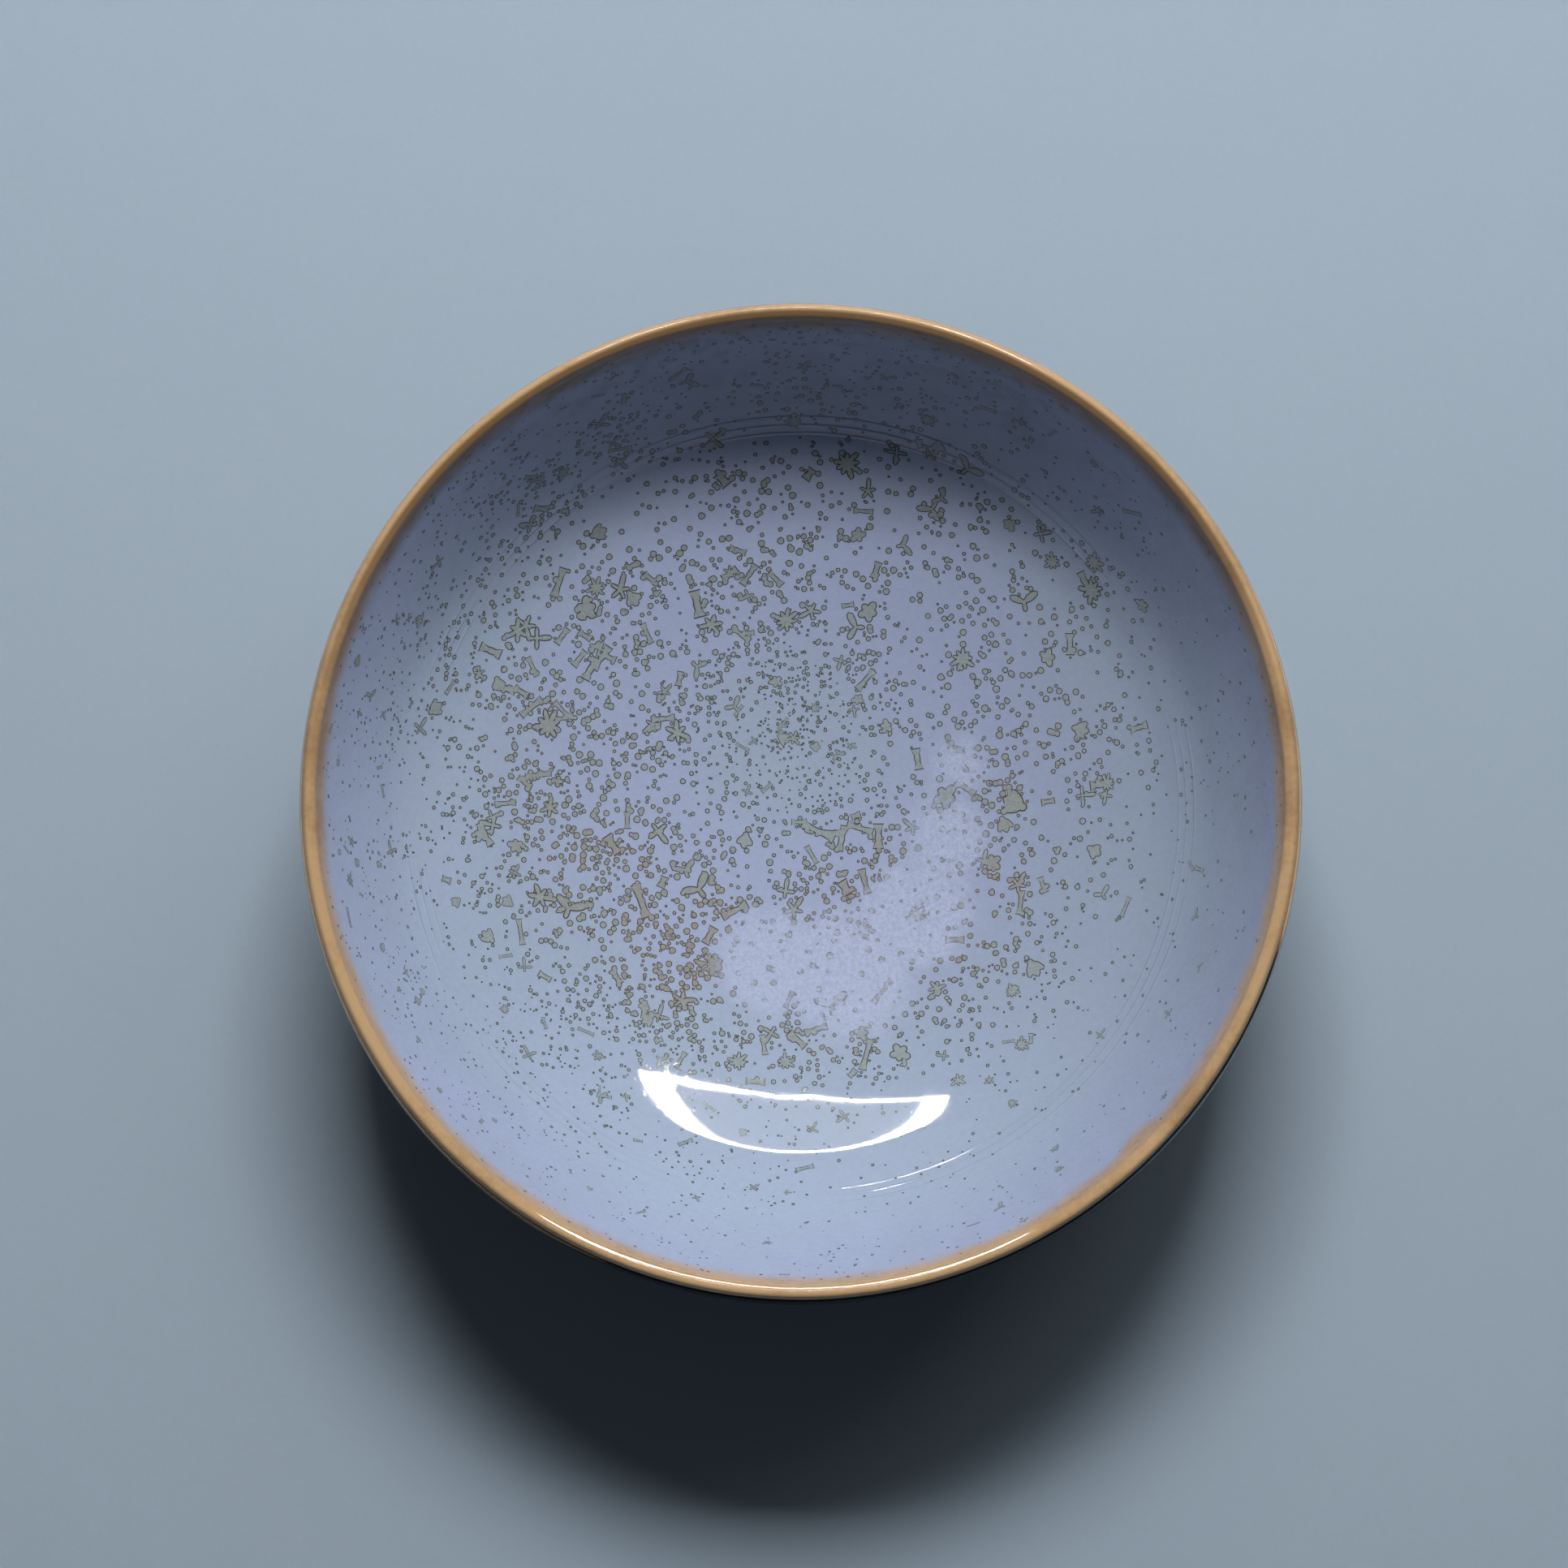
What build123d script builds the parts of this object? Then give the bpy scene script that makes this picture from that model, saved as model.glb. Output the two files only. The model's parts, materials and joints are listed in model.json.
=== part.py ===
from build123d import *
from math import radians, sqrt, tan
import os

# A round stoneware bowl: one piece of fired clay under coats of glaze.
# Every piece is turned about the Z axis. Its section is drawn with the distance
# from the axis along X and the height above the table along Y, then revolved.
# All sizes are in millimetres and degrees.

# Overall sizes, over the glaze
HEIGHT = 60.0
RIM_DIAMETER = 170.0

# Inside of the bowl: a dished floor sweeps up to a corner, where a gently curved
# wall starts. The corner lies below the rim's edge and in from it, and is rounded.
FLOOR_HEIGHT = 11.0
FLOOR_RISE = 17.3
WALL_LEAN = 17.0
WALL_SWEEP_RADIUS = 130.0
CORNER_RADIUS = 28.0

# Thickness of the wall and floor over their glaze, and of each coat of glaze
WALL_THICKNESS = 5.6
GLAZE_THICKNESS = 0.5

# Rounded lip, and the soft bead that swells out below it
LIP_THICKNESS = 2.4
BEAD_SWELL = 0.8
BEAD_RADIUS = 8.0

# How far the rim's glaze comes down from the top, inside and outside
RIM_BAND_INSIDE = 2.4
RIM_BAND_OUTSIDE = 1.3

# Foot ring, narrower towards the table, with a bare face to stand on
FOOT_DIAMETER = 82.0
FOOT_FACE_WIDTH = 5.0
FOOT_OUTSIDE_DRAFT = 6.0
FOOT_INSIDE_DRAFT = 16.0
FOOT_ROOT_RADIUS = 3.0
FOOT_EDGE_RADIUS = 1.2
BARE_FOOT_HEIGHT = 1.8

rim_radius = RIM_DIAMETER / 2
lip_radius = LIP_THICKNESS / 2
bead_reach = rim_radius + BEAD_SWELL
foot_outside = FOOT_DIAMETER / 2
foot_inside = foot_outside - FOOT_FACE_WIDTH
beyond = 2 * RIM_DIAMETER


def circles_cross(first, first_radius, second, second_radius):
    """Where two circles cross, to the left on the way from the first centre to the second."""
    apart = second - first
    along = (first_radius**2 - second_radius**2 + apart.length**2) / (2 * apart.length)
    across = sqrt(first_radius**2 - along**2)
    direction = apart.normalized()
    return first + direction * along + direction.rotate(Axis.Z, 90) * across


# The floor's sweep is level on the axis and passes through the corner
corner_reach = rim_radius - WALL_LEAN
floor_sweep = (corner_reach**2 + FLOOR_RISE**2) / (2 * FLOOR_RISE)
floor_centre = Vector(0, FLOOR_HEIGHT + floor_sweep)
corner = Vector(corner_reach, FLOOR_HEIGHT + FLOOR_RISE)

# The wall's sweep starts at the corner and runs into the round of the lip
lip_centre = Vector(rim_radius - lip_radius, HEIGHT - lip_radius)
wall_centre = circles_cross(corner, WALL_SWEEP_RADIUS, lip_centre, WALL_SWEEP_RADIUS + lip_radius)
into_lip = (lip_centre - wall_centre).normalized()

# The bead is a round tangent to the outer wall, and a sweep tangent to the bead
# runs up into the round of the lip
bead_x = bead_reach - BEAD_RADIUS
to_bead = WALL_SWEEP_RADIUS + WALL_THICKNESS - BEAD_RADIUS
bead_centre = Vector(bead_x, wall_centre.Y - sqrt(to_bead**2 - (bead_x - wall_centre.X) ** 2))
out_of_bead = (bead_centre - wall_centre).normalized()
swell = bead_reach - lip_centre.X
rise = lip_centre.Y - bead_centre.Y
top_sweep = (swell**2 - lip_radius**2 + rise**2) / (2 * (swell - lip_radius))
top_centre = Vector(bead_reach - top_sweep, bead_centre.Y)
out_of_lip = (lip_centre - top_centre).normalized()


def floor_level(reach, depth):
    """Height of the floor's sweep at a distance from the axis, a depth into the clay."""
    return floor_centre.Y - sqrt((floor_sweep + depth) ** 2 - reach**2)


def foot_flank(reach, draft, bottom):
    """Both ends of a flank of the foot, from a bottom height into the middle of the floor."""
    top = floor_level(reach, WALL_THICKNESS / 2)
    spread = tan(radians(draft))
    return Vector(reach + bottom * spread, bottom), Vector(reach + top * spread, top)


def bowl_section(inset, foot_bottom):
    """Section of the bowl with its faces an inset deep in the clay."""
    outset = WALL_THICKNESS - inset
    inner_corner = circles_cross(
        floor_centre, floor_sweep + inset, wall_centre, WALL_SWEEP_RADIUS + inset
    )
    outer_corner = circles_cross(
        floor_centre, floor_sweep + outset, wall_centre, WALL_SWEEP_RADIUS + outset
    )
    inner_top = lip_centre - into_lip * (lip_radius - inset)
    lip_top = lip_centre + Vector(0, lip_radius - inset)
    outer_top = lip_centre + out_of_lip * (lip_radius - inset)
    bead_start = bead_centre + Vector(BEAD_RADIUS - inset, 0)
    bead_end = bead_centre + out_of_bead * (BEAD_RADIUS - inset)
    floor_top = (0, floor_level(0, inset))
    floor_underside = (0, floor_level(0, outset))
    outside_edge, outside_root = foot_flank(foot_outside - inset, FOOT_OUTSIDE_DRAFT, foot_bottom)
    inside_edge, inside_root = foot_flank(foot_inside + inset, -FOOT_INSIDE_DRAFT, foot_bottom)

    with BuildSketch() as section:
        with BuildLine():
            RadiusArc(floor_top, inner_corner, -(floor_sweep + inset))
            RadiusArc(inner_corner, inner_top, -(WALL_SWEEP_RADIUS + inset))
            ThreePointArc(inner_top, lip_top, outer_top)
            RadiusArc(outer_top, bead_start, top_sweep - inset)
            RadiusArc(bead_start, bead_end, BEAD_RADIUS - inset)
            RadiusArc(bead_end, outer_corner, WALL_SWEEP_RADIUS + outset)
            RadiusArc(outer_corner, floor_underside, floor_sweep + outset)
            Line(floor_underside, floor_top)
        make_face()
        fillet(section.vertices().sort_by_distance(inner_corner)[0], CORNER_RADIUS + inset)
        fillet(section.vertices().sort_by_distance(outer_corner)[0], CORNER_RADIUS + outset)
        with BuildLine():
            Polyline(inside_edge, outside_edge, outside_root, inside_root, close=True)
        make_face()
        fillet(section.vertices().sort_by_distance(outside_root)[0], FOOT_ROOT_RADIUS + inset)
        fillet(section.vertices().sort_by_distance(inside_root)[0], FOOT_ROOT_RADIUS + inset)
    return section.sketch


# Section of the bowl over its glaze
with BuildSketch() as glazed_section:
    add(bowl_section(inset=0, foot_bottom=0))
    foot_edges = glazed_section.vertices().group_by(Axis.Y)[0]
    fillet(foot_edges, radius=FOOT_EDGE_RADIUS)

# Section of the foot's bare face and the clay just above it
with BuildSketch() as bare_foot:
    add(glazed_section.sketch)
    with Locations((0, BARE_FOOT_HEIGHT / 2)):
        Rectangle(beyond, BARE_FOOT_HEIGHT, mode=Mode.INTERSECT)

# Section of the clay: a coat's thickness inside the glazed section, down to
# the bare foot
with BuildSketch() as clay_section:
    add(bowl_section(inset=GLAZE_THICKNESS, foot_bottom=BARE_FOOT_HEIGHT))
    add(bare_foot.sketch)

# Section of the rim's band: a coat over the lip, cut level on either side
with BuildSketch() as rim_section:
    with Locations((lip_centre.X, HEIGHT - RIM_BAND_INSIDE)):
        Rectangle(beyond, beyond, align=(Align.MAX, Align.MIN))
    with Locations((lip_centre.X, HEIGHT - RIM_BAND_OUTSIDE)):
        Rectangle(beyond, beyond, align=(Align.MIN, Align.MIN))
    add(glazed_section.sketch, mode=Mode.INTERSECT)
    add(clay_section.sketch, mode=Mode.SUBTRACT)

# The rest of the coats: well, inside and outside, from the axis outwards
with BuildSketch() as coat_sections:
    add(glazed_section.sketch)
    add(clay_section.sketch, mode=Mode.SUBTRACT)
    add(rim_section.sketch, mode=Mode.SUBTRACT)
well_section, inner_section, outer_section = coat_sections.faces().sort_by(Axis.X)

# Fired clay: floor, wall, core of the lip and the foot ring
with BuildPart() as stoneware_body:
    with BuildSketch(Plane.XZ):
        add(clay_section.sketch)
    revolve(axis=Axis.Z)
stoneware_body.part.label = "stoneware_body"

# Reactive glaze over the whole of the inside
with BuildPart() as inner_glaze:
    with BuildSketch(Plane.XZ):
        add(inner_section)
    revolve(axis=Axis.Z)
inner_glaze.part.label = "inner_glaze"

# Band where the inside and outside coats meet and run thin over the lip
with BuildPart() as rim_glaze:
    with BuildSketch(Plane.XZ):
        add(rim_section.sketch)
    revolve(axis=Axis.Z)
rim_glaze.part.label = "rim_glaze"

# Dark glaze over the outside, down the foot ring as far as its bare face
with BuildPart() as outer_glaze:
    with BuildSketch(Plane.XZ):
        add(outer_section)
    revolve(axis=Axis.Z)
outer_glaze.part.label = "outer_glaze"

# The same dark glaze under the floor, inside the foot ring
with BuildPart() as well_glaze:
    with BuildSketch(Plane.XZ):
        add(well_section)
    revolve(axis=Axis.Z)
well_glaze.part.label = "well_glaze"

os.makedirs("parts", exist_ok=True)
for piece in (stoneware_body, inner_glaze, rim_glaze, outer_glaze, well_glaze):
    export_step(piece.part, f"parts/{piece.part.label}.step")
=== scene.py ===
import json
import math
import random

import bpy
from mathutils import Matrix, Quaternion, Vector

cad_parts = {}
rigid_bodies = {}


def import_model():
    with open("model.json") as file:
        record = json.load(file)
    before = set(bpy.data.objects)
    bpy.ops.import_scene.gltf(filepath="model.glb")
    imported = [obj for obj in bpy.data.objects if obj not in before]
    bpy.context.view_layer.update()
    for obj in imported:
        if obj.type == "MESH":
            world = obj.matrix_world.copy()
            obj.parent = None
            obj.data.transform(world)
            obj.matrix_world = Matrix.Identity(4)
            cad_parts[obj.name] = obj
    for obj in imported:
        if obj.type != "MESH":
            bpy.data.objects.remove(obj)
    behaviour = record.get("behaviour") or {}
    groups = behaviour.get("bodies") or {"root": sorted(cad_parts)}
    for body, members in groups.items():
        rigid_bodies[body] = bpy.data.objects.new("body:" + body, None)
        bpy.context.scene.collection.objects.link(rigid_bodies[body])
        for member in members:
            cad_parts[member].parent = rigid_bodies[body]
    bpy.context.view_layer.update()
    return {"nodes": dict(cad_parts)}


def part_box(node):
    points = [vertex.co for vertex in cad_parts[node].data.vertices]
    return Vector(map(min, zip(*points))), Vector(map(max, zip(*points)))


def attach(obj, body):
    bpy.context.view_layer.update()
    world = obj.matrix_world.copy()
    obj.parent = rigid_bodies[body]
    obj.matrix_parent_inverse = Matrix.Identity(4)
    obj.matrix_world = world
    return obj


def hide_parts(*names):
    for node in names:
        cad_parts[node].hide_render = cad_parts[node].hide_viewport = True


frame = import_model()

bl_info = {
    "name": "Stoneware Bowl",
    "version": (1, 0, 0),
    "blender": (4, 5, 0),
    "location": "View3D > Sidebar > Bowl",
    "description": "Glazes a round stoneware bowl and sets it on a studio floor",
    "category": "Object",
}

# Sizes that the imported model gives, in metres
MM = 0.001
_, RIM_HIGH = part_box("rim_glaze")
INSIDE_LOW, INSIDE_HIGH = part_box("inner_glaze")
OUTSIDE_LOW, OUTSIDE_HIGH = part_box("outer_glaze")
BODY_LOW, BODY_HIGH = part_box("stoneware_body")
COAT = RIM_HIGH[2] - BODY_HIGH[2]

# The clay's bead reaches this far past the rim
BEAD_PAST_RIM = 0.3 * MM
RIM_RADIUS = (BODY_HIGH[0] - BODY_LOW[0]) / 2 - BEAD_PAST_RIM

# Where the crystals' pattern has its middle, and the patches of a pale painted reflection
# on the glaze beside it: distance right, distance back and radius of each
EYE = (-0.7 * MM, 15.4 * MM)
PAINTED_REFLECTION_PATCHES = (
    (-5.0 * MM, -26.5 * MM, 10.5 * MM),
    (8.5 * MM, -28.5 * MM, 12.5 * MM),
    (21.0 * MM, -18.0 * MM, 10.5 * MM),
    (26.5 * MM, -4.0 * MM, 8.0 * MM),
    (29.0 * MM, 9.0 * MM, 5.5 * MM),
)

# The glaze's break by the lip: depths below it where it starts and ends, how far it
# wanders, how far it runs down at one spot, and where that spot is
INSIDE_BREAK = (1.6 * MM, 6.4 * MM, 3.2 * MM, 2.2 * MM)
RUN_SPOT = (57.5 * MM, -58.0 * MM)

# Distances from the axis of the three fine lines left by turning
TURNING_RADII = (67.2 * MM, 68.4 * MM, 69.7 * MM)

# How far down the inside of the wall the lip's roll of glaze fades out
ROLL_FADE = 5.0 * MM

# The colours of the lamps and of the light from all around, the point over the table
# that the lamps aim at, the weak lamp's place, and where the camera aims by the rim
LAMP_COLOUR = (1.0, 0.985, 0.96)
AIR_COLOUR = (0.86, 0.94, 1.0, 1.0)
LAMP_AIM = (0.0, 0.0, 0.04)
WEAK_LAMP = (0.57, 0.72, 0.92)
CAMERA_AIM = (-2.8 * MM, 2.3 * MM)

# What the settings for colours share
COLOUR = {"size": 3, "subtype": "COLOR", "min": 0, "max": 1}


# ---------------------------------------------------------------- settings

class BowlSizes(bpy.types.PropertyGroup):
    """Sizes of the bowl's section, over its glaze."""

    height: bpy.props.FloatProperty(
        name="Height", description="Height of the lip over the table",
        default=RIM_HIGH[2], min=0.02, unit="LENGTH")
    rim_radius: bpy.props.FloatProperty(
        name="Rim radius", description="Distance of the lip's outside from the axis",
        default=RIM_RADIUS, min=0.03, unit="LENGTH")
    bead_reach: bpy.props.FloatProperty(
        name="Bead reach", description="Distance of the bead's outside from the axis",
        default=OUTSIDE_HIGH[0], min=0.03, unit="LENGTH")
    bead_radius: bpy.props.FloatProperty(
        name="Bead radius", description="Radius of the bead below the lip",
        default=8.0 * MM, min=0.001, unit="LENGTH")
    floor_height: bpy.props.FloatProperty(
        name="Floor height", description="Height of the floor's middle over the table",
        default=INSIDE_LOW[2] + COAT, min=0.002, unit="LENGTH")
    floor_rise: bpy.props.FloatProperty(
        name="Floor rise", description="Rise of the floor from its middle to the corner",
        default=17.3 * MM, min=0.0, unit="LENGTH")
    wall_lean: bpy.props.FloatProperty(
        name="Wall lean", description="Distance of the corner in from the rim's edge",
        default=17.0 * MM, min=0.0, unit="LENGTH")
    wall_sweep: bpy.props.FloatProperty(
        name="Wall sweep", description="Radius of the wall's curve",
        default=130.0 * MM, min=0.01, unit="LENGTH")
    corner_radius: bpy.props.FloatProperty(
        name="Corner radius", description="Radius of the round between floor and wall",
        default=28.0 * MM, min=0.001, unit="LENGTH")
    wall: bpy.props.FloatProperty(
        name="Wall", description="Thickness of the wall and the floor",
        default=5.6 * MM, min=0.001, unit="LENGTH")
    lip: bpy.props.FloatProperty(
        name="Lip", description="Thickness of the rounded lip",
        default=2.4 * MM, min=0.001, unit="LENGTH")
    lip_flat: bpy.props.FloatProperty(
        name="Lip flat", description="How flat the glaze lies on top of the lip, 0 for round",
        default=0.11, min=0.0, max=0.12)
    lip_tilt: bpy.props.FloatProperty(
        name="Lip tilt", description="Lean of the lip's flat top towards the inside",
        default=math.radians(25), subtype="ANGLE")
    coat: bpy.props.FloatProperty(
        name="Coat", description="Thickness of the glaze",
        default=COAT, min=0.0001, unit="LENGTH")
    band_inside: bpy.props.FloatProperty(
        name="Rim band inside", description="How far the rim's glaze comes down the inside",
        default=RIM_HIGH[2] - INSIDE_HIGH[2], min=0.0002, unit="LENGTH")
    band_outside: bpy.props.FloatProperty(
        name="Rim band outside", description="How far the rim's glaze comes down the outside",
        default=RIM_HIGH[2] - OUTSIDE_HIGH[2], min=0.0002, unit="LENGTH")
    foot_radius: bpy.props.FloatProperty(
        name="Foot radius", description="Outside radius of the foot ring at the table",
        default=41.0 * MM, min=0.01, unit="LENGTH")
    foot_draft: bpy.props.FloatProperty(
        name="Foot draft", description="Lean of the foot ring's outside",
        default=math.radians(6), subtype="ANGLE")
    foot_root: bpy.props.FloatProperty(
        name="Foot root", description="Radius between the foot ring and the underside",
        default=3.0 * MM, min=0.0, unit="LENGTH")
    bare_foot: bpy.props.FloatProperty(
        name="Bare foot", description="Height of the foot's unglazed face",
        default=OUTSIDE_LOW[2], min=0.0, unit="LENGTH")
    steps: bpy.props.IntProperty(
        name="Steps around", description="Faces around the bowl", default=384, min=24)
    waviness: bpy.props.FloatProperty(
        name="Waviness", description="Height of the glaze's slow waves",
        default=0.10 * MM, min=0.0, unit="LENGTH")
    wave_size: bpy.props.FloatProperty(
        name="Wave size", description="Distance between the glaze's slow waves",
        default=22.0 * MM, min=0.001, unit="LENGTH")
    swell: bpy.props.FloatProperty(
        name="Outside swell", description="How much thicker the outside coat runs on one side",
        default=0.35 * MM, min=0.0, unit="LENGTH")
    swell_angle: bpy.props.FloatProperty(
        name="Swell angle", description="Direction in which the outside coat is thickest",
        default=math.radians(-65), subtype="ANGLE")


class CrystalSizes(bpy.types.PropertyGroup):
    """Sizes and numbers of the crystals in the inside glaze."""

    dots: bpy.props.FloatProperty(
        name="Dots", description="Round crystals on a square metre, away from the eye",
        default=395000.0, min=0.0)
    figures: bpy.props.FloatProperty(
        name="Figures", description="Bones, crosses and rosettes on a square metre",
        default=19000.0, min=0.0)
    dot_radius: bpy.props.FloatProperty(
        name="Dot radius", description="Usual radius of a round crystal",
        default=0.455 * MM, min=0.00005, unit="LENGTH")
    figure_size: bpy.props.FloatProperty(
        name="Figure size", description="Size of bones, crosses and rosettes, 1 as drawn",
        default=1.15, min=0.1)
    line: bpy.props.FloatProperty(
        name="Line", description="Width of the dark line around a crystal",
        default=0.16 * MM, min=0.00001, unit="LENGTH")
    relief: bpy.props.FloatProperty(
        name="Relief", description="Height of a crystal's line over the glaze",
        default=0.012 * MM, min=0.000001, unit="LENGTH")
    seed: bpy.props.IntProperty(
        name="Seed", description="Start of the crystals' random places", default=7)


class GlazeColours(bpy.types.PropertyGroup):
    """Colours of the glazes, the crystals and the clay."""

    lavender: bpy.props.FloatVectorProperty(
        name="Lavender", description="Inside glaze where it is thick",
        default=(0.378, 0.438, 0.628), **COLOUR)
    blue_green: bpy.props.FloatVectorProperty(
        name="Blue-green", description="Inside glaze where it is thin",
        default=(0.362, 0.438, 0.578), **COLOUR)
    # Colour of the pale painted reflection on the inside glaze
    painted_reflection_colour: bpy.props.FloatVectorProperty(
        name="Painted reflection", description="Milky cloud in the inside glaze",
        default=(0.50, 0.56, 0.755), **COLOUR)
    honey: bpy.props.FloatVectorProperty(
        name="Honey", description="Glaze where it runs thin over the lip",
        default=(0.60, 0.395, 0.215), **COLOUR)
    umber: bpy.props.FloatVectorProperty(
        name="Umber", description="Darker streaks of the thin glaze",
        default=(0.27, 0.155, 0.075), **COLOUR)
    teal: bpy.props.FloatVectorProperty(
        name="Teal", description="Outside glaze",
        default=(0.006, 0.032, 0.048), **COLOUR)
    teal_pool: bpy.props.FloatVectorProperty(
        name="Teal pool", description="Outside glaze where it is thickest",
        default=(0.002, 0.009, 0.018), **COLOUR)
    line: bpy.props.FloatVectorProperty(
        name="Crystal line", description="Dark line around a crystal",
        default=(0.072, 0.082, 0.072), **COLOUR)
    line_warm: bpy.props.FloatVectorProperty(
        name="Warm line", description="Dark line around a crystal in the brown patches",
        default=(0.115, 0.088, 0.062), **COLOUR)
    fill: bpy.props.FloatVectorProperty(
        name="Crystal fill", description="Inside of a crystal",
        default=(0.315, 0.37, 0.385), **COLOUR)
    fill_warm: bpy.props.FloatVectorProperty(
        name="Warm fill", description="Inside of a crystal in the brown patches",
        default=(0.315, 0.312, 0.292), **COLOUR)
    clay: bpy.props.FloatVectorProperty(
        name="Clay", description="Bare fired clay",
        default=(0.50, 0.37, 0.25), **COLOUR)


class StageSizes(bpy.types.PropertyGroup):
    """The floor, the lamps and the camera."""

    floor: bpy.props.FloatVectorProperty(
        name="Floor", description="Colour of the floor",
        default=(0.375, 0.47, 0.575), **COLOUR)
    floor_size: bpy.props.FloatProperty(
        name="Floor size", description="Width of the floor",
        default=6.0, min=0.5, unit="LENGTH")
    lamp_height: bpy.props.FloatProperty(
        name="Lamp height", description="Angle of the soft lamp over the floor",
        default=math.radians(50), subtype="ANGLE")
    lamp_bearing: bpy.props.FloatProperty(
        name="Lamp bearing", description="Angle of the soft lamp to the right of the back",
        default=math.radians(2), subtype="ANGLE")
    lamp_distance: bpy.props.FloatProperty(
        name="Lamp distance", description="Distance of the soft lamp from the bowl",
        default=1.2, min=0.2, unit="LENGTH")
    lamp_width: bpy.props.FloatProperty(
        name="Lamp width", description="Width of the soft lamp",
        default=0.50, min=0.01, unit="LENGTH")
    lamp_depth: bpy.props.FloatProperty(
        name="Lamp depth", description="Depth of the soft lamp",
        default=0.40, min=0.01, unit="LENGTH")
    lamp_power: bpy.props.FloatProperty(
        name="Lamp power", description="Power of the soft lamp",
        default=20.0, min=0.0, unit="POWER")
    front_height: bpy.props.FloatProperty(
        name="Front height", description="Angle of the lamp's bright front over the floor",
        default=math.radians(44), subtype="ANGLE")
    front_width: bpy.props.FloatProperty(
        name="Front width", description="Width of the lamp's bright front",
        default=0.81, min=0.01, unit="LENGTH")
    front_depth: bpy.props.FloatProperty(
        name="Front depth", description="Depth of the lamp's bright front",
        default=0.225, min=0.01, unit="LENGTH")
    front_roll: bpy.props.FloatProperty(
        name="Front roll", description="How much the lamp's front leans to the left",
        default=math.radians(3.7), subtype="ANGLE")
    front_glow: bpy.props.FloatProperty(
        name="Front glow", description="Brightness of the lamp's front, as the glaze mirrors it",
        default=150.0, min=0.0)
    fill_power: bpy.props.FloatProperty(
        name="Fill", description="Power of the weak lamp from the right",
        default=1.4, min=0.0, unit="POWER")
    air: bpy.props.FloatProperty(
        name="Air", description="Brightness of the light from all around",
        default=0.042, min=0.0)
    lens: bpy.props.FloatProperty(
        name="Lens", description="Focal length of the camera in millimetres",
        default=100.0, min=10.0)
    camera_distance: bpy.props.FloatProperty(
        name="Camera distance", description="Distance of the camera from the rim",
        default=0.741, min=0.1, unit="LENGTH")
    camera_height: bpy.props.FloatProperty(
        name="Camera height", description="Angle of the camera over the floor",
        default=math.radians(86), subtype="ANGLE")


# ---------------------------------------------------------------- nodes

class Value:
    """A node's output. Python's own signs on it place the nodes of a sum."""

    def __init__(self, socket):
        self.socket = socket
        self.tree = socket.id_data

    def __add__(self, other):
        return calc("ADD", self, other)

    def __sub__(self, other):
        return calc("SUBTRACT", self, other)

    def __mul__(self, other):
        return calc("MULTIPLY", self, other)

    def __truediv__(self, other):
        return calc("DIVIDE", self, other)


def tree_of(values):
    """The tree that the first node's output among some values belongs to."""
    return next(value.tree for value in values if isinstance(value, Value))


def fill(socket, value):
    """Link a node's output to a socket, or set the socket's own value."""
    if isinstance(value, Value):
        value.tree.links.new(value.socket, socket)
    elif socket.type == "RGBA" and len(value) == 3:
        socket.default_value = (*value, 1.0)
    else:
        socket.default_value = value


def place(tree, kind, inputs=None, **options):
    """Add a node, set its options, then fill its inputs."""
    node = tree.nodes.new(kind)
    for name, value in options.items():
        setattr(node, name, value)
    for name, value in (inputs or {}).items():
        fill(node.inputs[name], value)
    return node


def made(tree, kind, inputs=None, output=0, **options):
    """One output of a new node."""
    return Value(place(tree, kind, inputs, **options).outputs[output])


def calc(operation, *values):
    """A sum on numbers."""
    return made(tree_of(values), "ShaderNodeMath", dict(enumerate(values)),
                operation=operation)


def vector_calc(operation, *values):
    """A sum on vectors."""
    number = operation in {"DISTANCE", "LENGTH", "DOT_PRODUCT"}
    return made(tree_of(values), "ShaderNodeVectorMath", dict(enumerate(values)),
                "Value" if number else "Vector", operation=operation)


def scaled(vector, amount):
    """A vector or a colour times a number."""
    return made(tree_of((vector, amount)), "ShaderNodeVectorMath",
                {0: vector, "Scale": amount}, operation="SCALE")


def axes(vector):
    """The three numbers of a vector."""
    node = place(vector.tree, "ShaderNodeSeparateXYZ", {"Vector": vector})
    return [Value(output) for output in node.outputs]


def ease(value, start, end, low=0.0, high=1.0, kind="SMOOTHSTEP"):
    """A value's way from start to end, eased into low to high."""
    return made(value.tree, "ShaderNodeMapRange", {
        "Value": value, "From Min": start, "From Max": end, "To Min": low, "To Max": high},
        interpolation_type=kind)


def noise(where, scale, detail=2.0, roughness=0.5):
    """Soft noise, about 0 to 1."""
    return made(where.tree, "ShaderNodeTexNoise", {
        "Vector": where, "Scale": scale, "Detail": detail, "Roughness": roughness})


def blend(share, first, second):
    """Two colours mixed by a share."""
    return made(share.tree, "ShaderNodeMix", {0: share, 6: first, 7: second}, 2,
                data_type="RGBA", blend_type="MIX")


def new_tree(name, kind, inputs, outputs):
    """An empty node tree, its inputs by their names, and the ends of its outputs."""
    tree = bpy.data.node_groups.new(name, kind)
    for label, socket_kind, default in inputs:
        socket = tree.interface.new_socket(
            name=label, in_out="INPUT", socket_type="NodeSocket" + socket_kind)
        if default is not None:
            socket.default_value = default
    for label, socket_kind in outputs:
        tree.interface.new_socket(
            name=label, in_out="OUTPUT", socket_type="NodeSocket" + socket_kind)
    start, end = place(tree, "NodeGroupInput"), place(tree, "NodeGroupOutput")
    return tree, {label: Value(start.outputs[label]) for label, *_ in inputs}, end.inputs


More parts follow.
